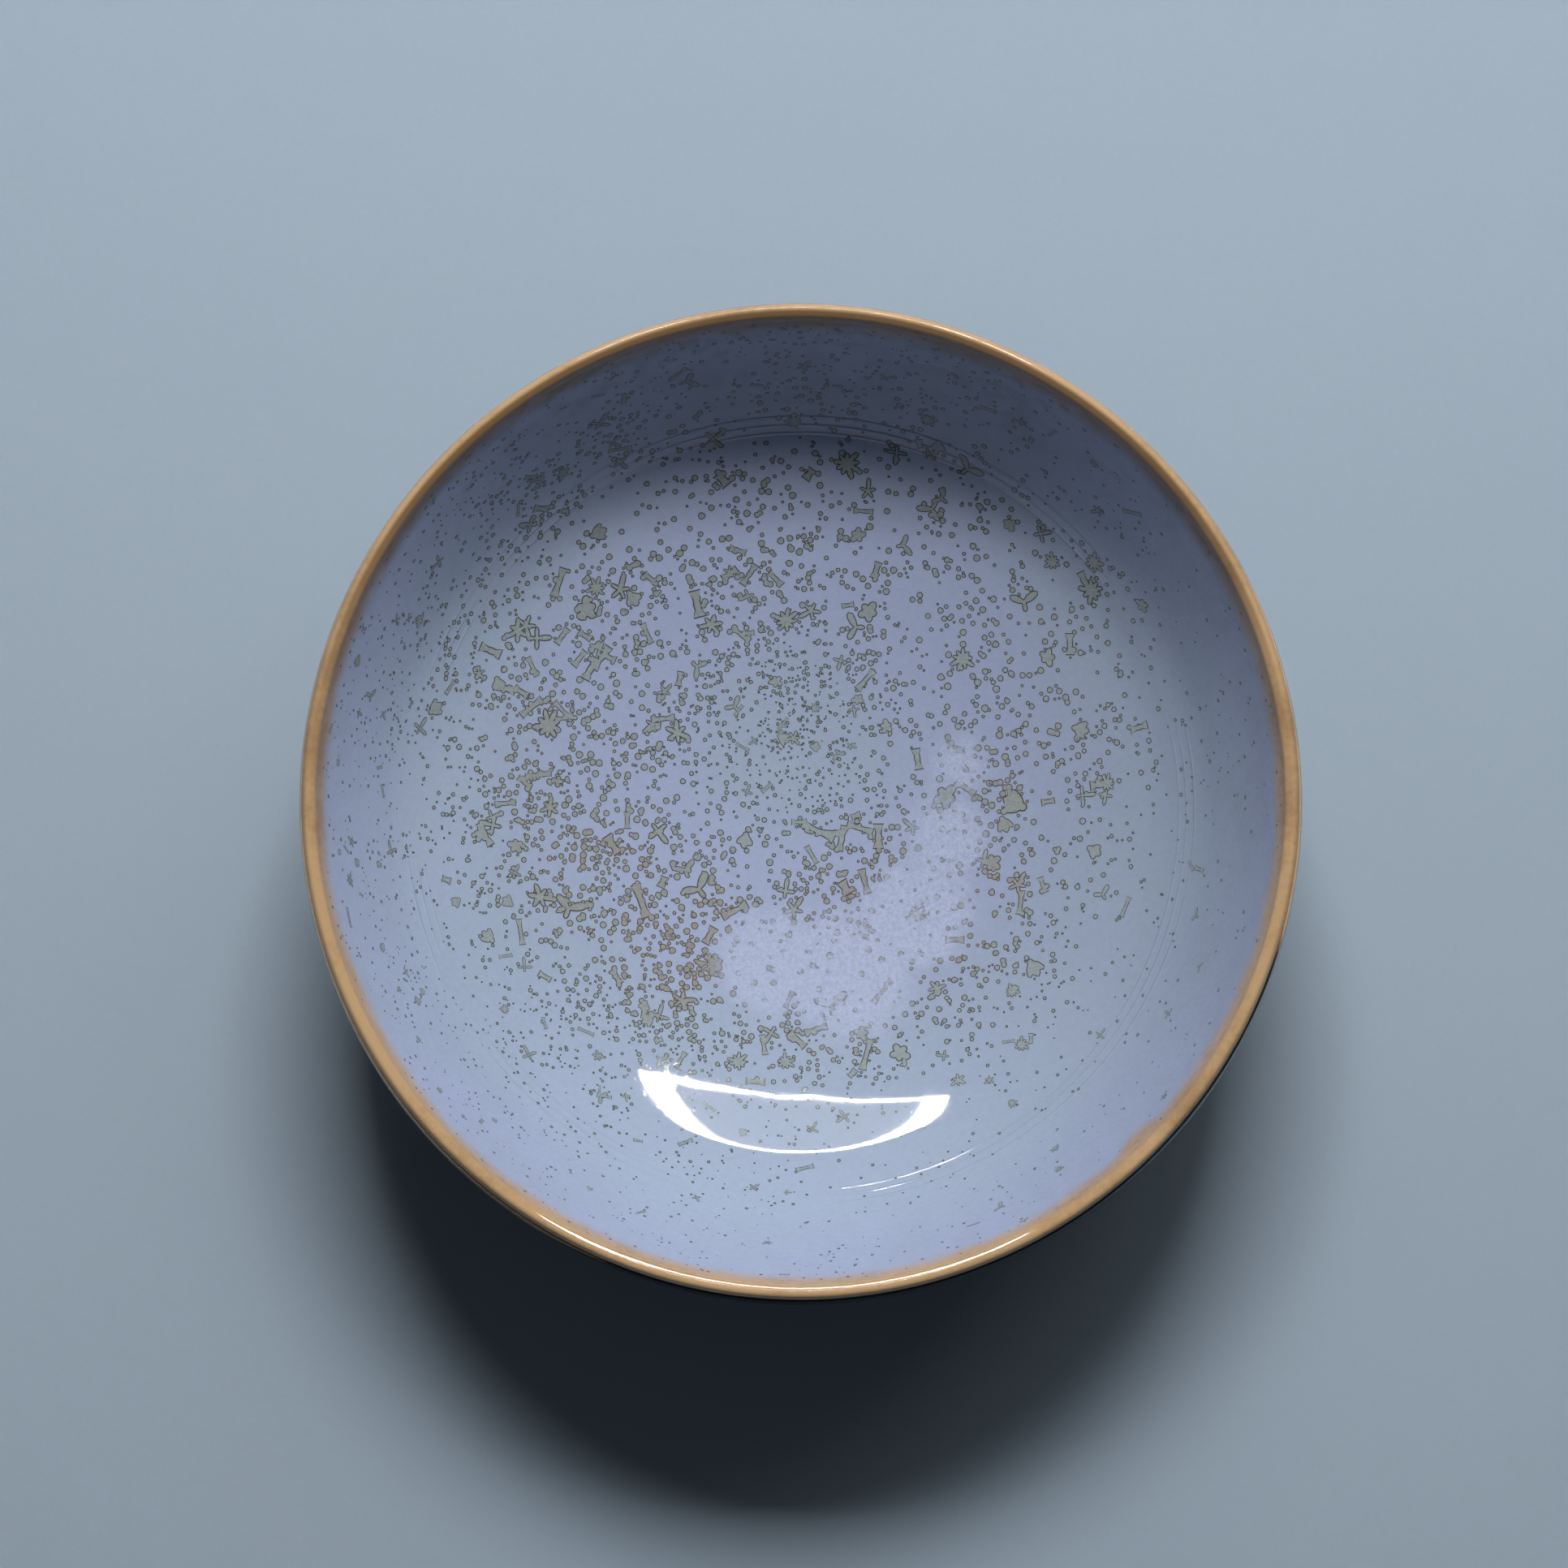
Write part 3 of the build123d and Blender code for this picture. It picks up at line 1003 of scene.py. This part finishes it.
def finish_gloss(tree, shader, gloss, dulling, depth):
    """Gives a shader the glaze's surface."""
    surface = use_group(tree, "Glaze surface", gloss_group, {
        "Gloss": gloss, "Dulling": dulling})
    fill(shader.inputs["Roughness"], surface["Roughness"])
    shader.inputs["IOR"].default_value = 1.5
    return bump(tree, shader, depth, surface["Height"])


def turning_lines(tree):
    """Three fine raised lines around the inside, near the corner, and fading in places."""
    here = object_place(tree)
    reach = flat_distance(here)
    lines = None
    for radius in TURNING_RADII:
        line = ease(calc("ABSOLUTE", reach - radius), 0.28 * MM, 0.0)
        lines = line if lines is None else lines + line
    return lines * ease(noise(here, 22.0, 1.0), 0.42, 0.60)


def inside_material():
    """Lavender reactive glaze that breaks to honey by the lip."""
    material, tree, shader = new_material("inside_glaze")
    cover = use_break(tree, *INSIDE_BREAK)
    fill(shader.inputs["Base Color"],
         blend(cover, use_honey(tree), use_ground(tree)["Color"]))
    raised = finish_gloss(tree, shader, 0.02, 0.03, 0.005 * MM)
    bump(tree, shader, 0.10 * MM, turning_lines(tree), Normal=raised)
    return material


def rim_material():
    """Honey glaze over the lip, darker along the outside of its crest."""
    scene = bpy.context.scene
    material, tree, shader = new_material("rim_glaze")
    crest = flat_distance(object_place(tree)) - scene.bowl_sizes.rim_radius
    inside = ease(crest, -1.4 * MM, -2.2 * MM)
    covered = blend(use_break(tree, *INSIDE_BREAK) * inside,
                    use_honey(tree), use_ground(tree)["Color"])
    edge = ease(crest, -0.35 * MM, 0.05 * MM, 0.0, 0.10)
    fill(shader.inputs["Base Color"],
         blend(edge, covered, tuple(scene.bowl_colours.umber)))
    finish_gloss(tree, shader, 0.03, 0.02, 0.002 * MM)
    return material


def teal_pools(here, scale):
    """Dark teal, darker in pools."""
    colours = bpy.context.scene.bowl_colours
    return blend(ease(noise(here, scale, 5.0, 0.6), 0.35, 0.65),
                 tuple(colours.teal_pool), tuple(colours.teal))


def dark_umber():
    """Umber under the teal, where that thins."""
    return tuple(value * 0.30 for value in bpy.context.scene.bowl_colours.umber)


def outside_material():
    """Dark teal glaze in pools, that breaks to umber and honey below the lip."""
    sizes = bpy.context.scene.bowl_sizes
    material, tree, shader = new_material("outside_glaze")
    here = object_place(tree)
    freckle = ease(noise(here, 520.0, 3.0, 0.6), 0.64, 0.72, 0.0, 0.55)
    teal = blend(freckle, teal_pools(here, 60.0), dark_umber())
    turned = vector_calc("DOT_PRODUCT", here, (
        math.cos(sizes.swell_angle), math.sin(sizes.swell_angle), 0.0))
    side = ease(turned, 30 * MM, 62 * MM)
    cover = use_break(tree, ease(side, 0.0, 1.0, 7.0 * MM, 0.2 * MM, "LINEAR"),
                      ease(side, 0.0, 1.0, 12.0 * MM, 1.6 * MM, "LINEAR"), 1.6 * MM, 0.0)
    through = blend(ease(cover, 0.0, 0.6), use_honey(tree), dark_umber())
    fill(shader.inputs["Base Color"], blend(ease(cover, 0.45, 1.0), through, teal))
    finish_gloss(tree, shader, 0.10, 0.10, 0.012 * MM)
    return material


def well_material():
    """The outside's dark glaze under the floor, thinner on the rings left by turning."""
    material, tree, shader = new_material("well_glaze")
    here = object_place(tree)
    rings = calc("SINE", flat_distance(here) * (2 * math.pi / (2.6 * MM)))
    thin = ease(rings, 0.2, 1.0) * ease(noise(here, 90.0, 3.0), 0.45, 0.65)
    fill(shader.inputs["Base Color"], blend(thin, teal_pools(here, 70.0), dark_umber()))
    finish_gloss(tree, shader, 0.12, 0.12, 0.015 * MM)
    return material


def clay_material():
    """Buff fired clay with iron specks, grit and the marks of the sponge."""
    material, tree, shader = new_material("clay")
    here = object_place(tree)
    tone = ease(noise(here, 60.0, 4.0, 0.6), 0.3, 0.7, 0.82, 1.10, "LINEAR")
    base = scaled(tuple(bpy.context.scene.bowl_colours.clay), tone)
    speck = ease(noise(here, 1500.0, 2.0, 0.5), 0.68, 0.73)
    fill(shader.inputs["Base Color"], blend(speck, base, (0.09, 0.05, 0.03)))
    grit = noise(here, 2600.0, 4.0, 0.7) + noise(here, 300.0, 2.0) * 0.8
    bump(tree, shader, 0.05 * MM, grit, 0.8)
    fill(shader.inputs["Roughness"], ease(noise(here, 800.0, 3.0), 0.3, 0.7, 0.72, 0.9))
    return material


def crystal_material(name, colour, warmth):
    """A crystal's colour: grey-green by the eye, browner in the ring around it, darker at
    the back as painted shade, and fading where it lies under the pale painted reflection."""
    material, tree, shader = new_material(name)
    here = object_place(tree)
    ground = use_ground(tree)
    from_eye = flat_distance(here, EYE)
    ring = ease(from_eye, 14 * MM, 30 * MM) * ease(from_eye, 66 * MM, 46 * MM)
    _, along, _ = axes(here)
    front = ease(along, 30 * MM, -25 * MM, 0.25, 1.0)
    patch = ease(noise(here, 55.0, 3.0), 0.35, 0.62)
    toned = blend(ring * front * patch, colour, warmth)
    mottled = ease(noise(here, 1800.0, 2.0), 0.3, 0.7, 0.90, 1.12, "LINEAR")
    # Painted shade: crystals darker towards the back, where the wall lies in shadow
    tint_and_painted_shade = scaled(toned, mottled * ease(along, 25 * MM, 70 * MM, 1.0, 0.68))
    # Crystals fade into the glaze colour under the pale painted reflection
    hatch = ease(noise(here, 1100.0, 2.0, 0.6), 0.42, 0.58, 0.35, 0.95)
    fill(shader.inputs["Base Color"], blend(ground["Reflection share"] * hatch, tint_and_painted_shade, ground["Color"]))
    finish_gloss(tree, shader, 0.05, 0.05, 0.006 * MM)
    return material


# ---------------------------------------------------------------- operators

def keep(piece, slot, *replaced):
    """Hand a finished piece to the frame: it rides on the bowl, and the parts it replaces are
    hidden.
    """
    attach(piece, "root")
    if replaced:
        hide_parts(*replaced)


class BOWL_OT_outer_coat(bpy.types.Operator):
    """Turn the dark coat over the outside, a little thicker on one side"""

    bl_idname = "bowl.outer_coat"
    bl_label = "Outside coat"

    def execute(self, context):
        sizes = context.scene.bowl_sizes
        points = coat_sections(sizes)["outer"]
        piece = turn_coat("outside_coat", points, True, outside_material(), sizes.swell)
        keep(piece, "outside_glaze", "outer_glaze")
        return {"FINISHED"}


class BOWL_OT_rim_coat(bpy.types.Operator):
    """Turn the thin honey band over the lip"""

    bl_idname = "bowl.rim_coat"
    bl_label = "Rim coat"

    def execute(self, context):
        points = coat_sections(context.scene.bowl_sizes)["rim"]
        keep(turn_coat("rim_coat", points, True, rim_material()), "rim_glaze", "rim_glaze")
        return {"FINISHED"}


class BOWL_OT_inner_coat(bpy.types.Operator):
    """Turn the lavender coat over the whole of the inside"""

    bl_idname = "bowl.inner_coat"
    bl_label = "Inside coat"

    def execute(self, context):
        points = coat_sections(context.scene.bowl_sizes)["inner"]
        keep(turn_coat("inside_coat", points, True, inside_material()),
             "inside_glaze", "inner_glaze")
        return {"FINISHED"}


class BOWL_OT_crystals(bpy.types.Operator):
    """Strew round crystals, bones, crosses and rosettes over the inside coat"""

    bl_idname = "bowl.crystals"
    bl_label = "Crystals"

    def execute(self, context):
        crystals = context.scene.bowl_crystals
        colours = context.scene.bowl_colours
        face = turn_coat("inside_face", coat_sections(context.scene.bowl_sizes)["face"],
                         False, None)
        tree = bpy.data.node_groups.get("Strewn crystals") or scatter_tree()
        dark = crystal_material("crystal_line", tuple(colours.line), tuple(colours.line_warm))
        pale = crystal_material("crystal_fill", tuple(colours.fill), tuple(colours.fill_warm))
        outlines = crystal_outlines()
        line, radius = crystals.line / MM, crystals.dot_radius / MM
        dots = {"Density": crystals.dots, "Size": radius, "Spread": 1.0,
                "Seed": crystals.seed}
        figures = {"Density": crystals.figures, "Size": crystals.figure_size,
                   "Spread": 0.55, "Seed": crystals.seed + 40}
        # Name, kind of shape, width its outline is grown by, what the shapes of its
        # kind share, size added to each, height in reliefs, and material
        layers = (
            ("dot_lines", "dot", 0.0, dots, 0.0, 1, dark),
            ("dot_fills", "dot", 0.0, dots, -line, 3, pale),
            ("figure_lines", "figure", line, figures, 0.0, 1.5, dark),
            ("figure_fills", "figure", 0.0, figures, 0.0, 3.5, pale),
        )
        for name, kind, grown, shared, added, level, material in layers:
            shapes = shape_collection(name + "_shapes", outlines[kind], grown)
            piece = run_tree(tree, name, {
                "Face": face, "Shapes": shapes, "Added size": added,
                "Level": crystals.relief * level, "Material": material, **shared})
            for shape in list(shapes.objects):
                bpy.data.objects.remove(shape)
            bpy.data.collections.remove(shapes)
            keep(piece, "inside_glaze")
        bpy.data.objects.remove(face)
        return {"FINISHED"}


class BOWL_OT_clay(bpy.types.Operator):
    """Finish the fired clay and the coat inside the foot ring"""

    bl_idname = "bowl.clay"
    bl_label = "Clay and well"

    def execute(self, context):
        for node, material in (("stoneware_body", clay_material()),
                               ("well_glaze", well_material())):
            mesh = frame["nodes"][node].data
            mesh.materials.clear()
            mesh.materials.append(material)
        return {"FINISHED"}


class BOWL_OT_stage(bpy.types.Operator):
    """Lay the floor and set up the lamps and the camera"""

    bl_idname = "bowl.stage"
    bl_label = "Stage"

    def execute(self, context):
        stage = context.scene.bowl_stage
        lay_floor(stage)
        aim = way(stage.lamp_height, stage.lamp_bearing) * stage.lamp_distance
        area_lamp("soft_lamp", aim, stage.lamp_width, stage.lamp_depth, stage.lamp_power)
        area_lamp("weak_lamp", Vector(WEAK_LAMP), 0.5, 0.5, stage.fill_power)
        hang_front(stage)
        light_air(stage)
        context.scene.view_settings.view_transform = "Standard"
        aim_camera(stage)
        return {"FINISHED"}


def sheet(name, across, up, material, corners=(0, 1, 2, 3)):
    """A flat sheet of these half sizes."""
    mesh = bpy.data.meshes.new(name)
    mesh.from_pydata([(-across, -up, 0), (across, -up, 0), (across, up, 0), (-across, up, 0)],
                     [], [corners])
    mesh.materials.append(material)
    flat = bpy.data.objects.new(name, mesh)
    bpy.context.scene.collection.objects.link(flat)
    return flat


def lay_floor(stage):
    """A plain pale floor under the foot."""
    material, tree, shader = new_material("floor")
    dust = ease(noise(object_place(tree), 900.0, 3.0), 0.3, 0.7, 0.99, 1.01, "LINEAR")
    fill(shader.inputs["Base Color"], scaled(tuple(stage.floor), dust))
    shader.inputs["Roughness"].default_value = 0.85
    floor = sheet("floor", stage.floor_size / 2, stage.floor_size / 2, material)


def way(height, bearing):
    """The way to a place at an angle over the floor and an angle right of the back."""
    level = math.cos(height)
    return Vector((level * math.sin(bearing), level * math.cos(bearing), math.sin(height)))


def front_material(stage, across, up):
    """The lamp's bright front: a crescent with a thin top edge and a faint middle."""
    material = bpy.data.materials.new("lamp_front")
    material.use_nodes = True
    tree = material.node_tree
    tree.nodes.clear()
    x, y, _ = axes(object_place(tree))
    sideways = x / across
    downwards = calc("SUBTRACT", up, y) / (2 * up)
    square = sideways * sideways
    spread = square + calc("POWER", downwards, 1.25)
    top = downwards - ease(sideways, -0.2, -0.85, 0.0, 0.06)
    edge = calc("MAXIMUM", ease(spread + square * 0.24, 0.78, 0.90),
                ease(top, 0.030, 0.006))
    shape = ease(edge, 0.0, 1.0, 0.008, 1.0, "LINEAR") * ease(spread, 1.0, 0.97)
    light = place(tree, "ShaderNodeEmission", {
        "Color": LAMP_COLOUR, "Strength": shape * stage.front_glow})
    output = place(tree, "ShaderNodeOutputMaterial")
    tree.links.new(light.outputs[0], output.inputs["Surface"])
    return material


def hang_front(stage):
    """The soft lamp's front as the glaze mirrors it. It doesn't light what is matt."""
    across, up = stage.front_width / 2, stage.front_depth / 2
    front = sheet("lamp_front", across, up, front_material(stage, across, up), (3, 2, 1, 0))
    towards = way(stage.front_height, stage.lamp_bearing)
    front.location = towards * stage.lamp_distance + Vector(LAMP_AIM)
    facing = (-towards).to_track_quat("-Z", "Y")
    front.rotation_euler = (facing @ Quaternion((0, 0, 1), -stage.front_roll)).to_euler()
    front.visible_diffuse = False


def area_lamp(name, where, width, depth, power):
    """A soft lamp that faces the bowl and isn't mirrored."""
    data = bpy.data.lights.new(name, "AREA")
    data.shape, data.size, data.size_y = "RECTANGLE", width, depth
    data.energy = power
    data.color = LAMP_COLOUR
    lamp = bpy.data.objects.new(name, data)
    lamp.location = where + Vector(LAMP_AIM)
    lamp.rotation_euler = (-where).to_track_quat("-Z", "Y").to_euler()
    lamp.visible_glossy = False
    bpy.context.scene.collection.objects.link(lamp)


def light_air(stage):
    """Weak light from all around."""
    world = bpy.data.worlds.new("air")
    world.use_nodes = True
    background = world.node_tree.nodes["Background"]
    background.inputs["Color"].default_value = AIR_COLOUR
    background.inputs["Strength"].default_value = stage.air
    bpy.context.scene.world = world


def aim_camera(stage):
    """The camera almost straight above, a little to the front."""
    data = bpy.data.cameras.new("camera")
    data.lens = stage.lens
    data.sensor_width = 36.0
    camera = bpy.data.objects.new("camera", data)
    aim = Vector((*CAMERA_AIM, bpy.context.scene.bowl_sizes.height))
    back = Vector((0, -math.cos(stage.camera_height), math.sin(stage.camera_height)))
    camera.location = aim + back * stage.camera_distance
    camera.rotation_euler = (-back).to_track_quat("-Z", "Y").to_euler()
    bpy.context.scene.collection.objects.link(camera)
    bpy.context.scene.camera = camera


class BOWL_PT_panel(bpy.types.Panel):
    """Buttons that make the bowl and its stage"""

    bl_idname = "BOWL_PT_panel"
    bl_label = "Stoneware bowl"
    bl_space_type = "VIEW_3D"
    bl_region_type = "UI"
    bl_category = "Bowl"

    def draw(self, context):
        for operator in OPERATORS:
            self.layout.operator(operator.bl_idname)
        for group in (context.scene.bowl_sizes, context.scene.bowl_crystals,
                      context.scene.bowl_colours, context.scene.bowl_stage):
            box = self.layout.box()
            for name in group.bl_rna.properties.keys():
                if name not in {"rna_type", "name"}:
                    box.prop(group, name)


GROUPS = {
    "bowl_sizes": BowlSizes,
    "bowl_crystals": CrystalSizes,
    "bowl_colours": GlazeColours,
    "bowl_stage": StageSizes,
}
OPERATORS = (
    BOWL_OT_outer_coat,
    BOWL_OT_rim_coat,
    BOWL_OT_inner_coat,
    BOWL_OT_crystals,
    BOWL_OT_clay,
    BOWL_OT_stage,
)


def register():
    for name, group in GROUPS.items():
        bpy.utils.register_class(group)
        setattr(bpy.types.Scene, name, bpy.props.PointerProperty(type=group))
    for operator in OPERATORS:
        bpy.utils.register_class(operator)
    bpy.utils.register_class(BOWL_PT_panel)


def unregister():
    bpy.utils.unregister_class(BOWL_PT_panel)
    for operator in reversed(OPERATORS):
        bpy.utils.unregister_class(operator)
    for name, group in reversed(list(GROUPS.items())):
        delattr(bpy.types.Scene, name)
        bpy.utils.unregister_class(group)


def main():
    register()
    bpy.ops.bowl.outer_coat()
    bpy.ops.bowl.rim_coat()
    bpy.ops.bowl.inner_coat()
    bpy.ops.bowl.crystals()
    bpy.ops.bowl.clay()
    bpy.ops.bowl.stage()


if __name__ == "__main__":
    main()
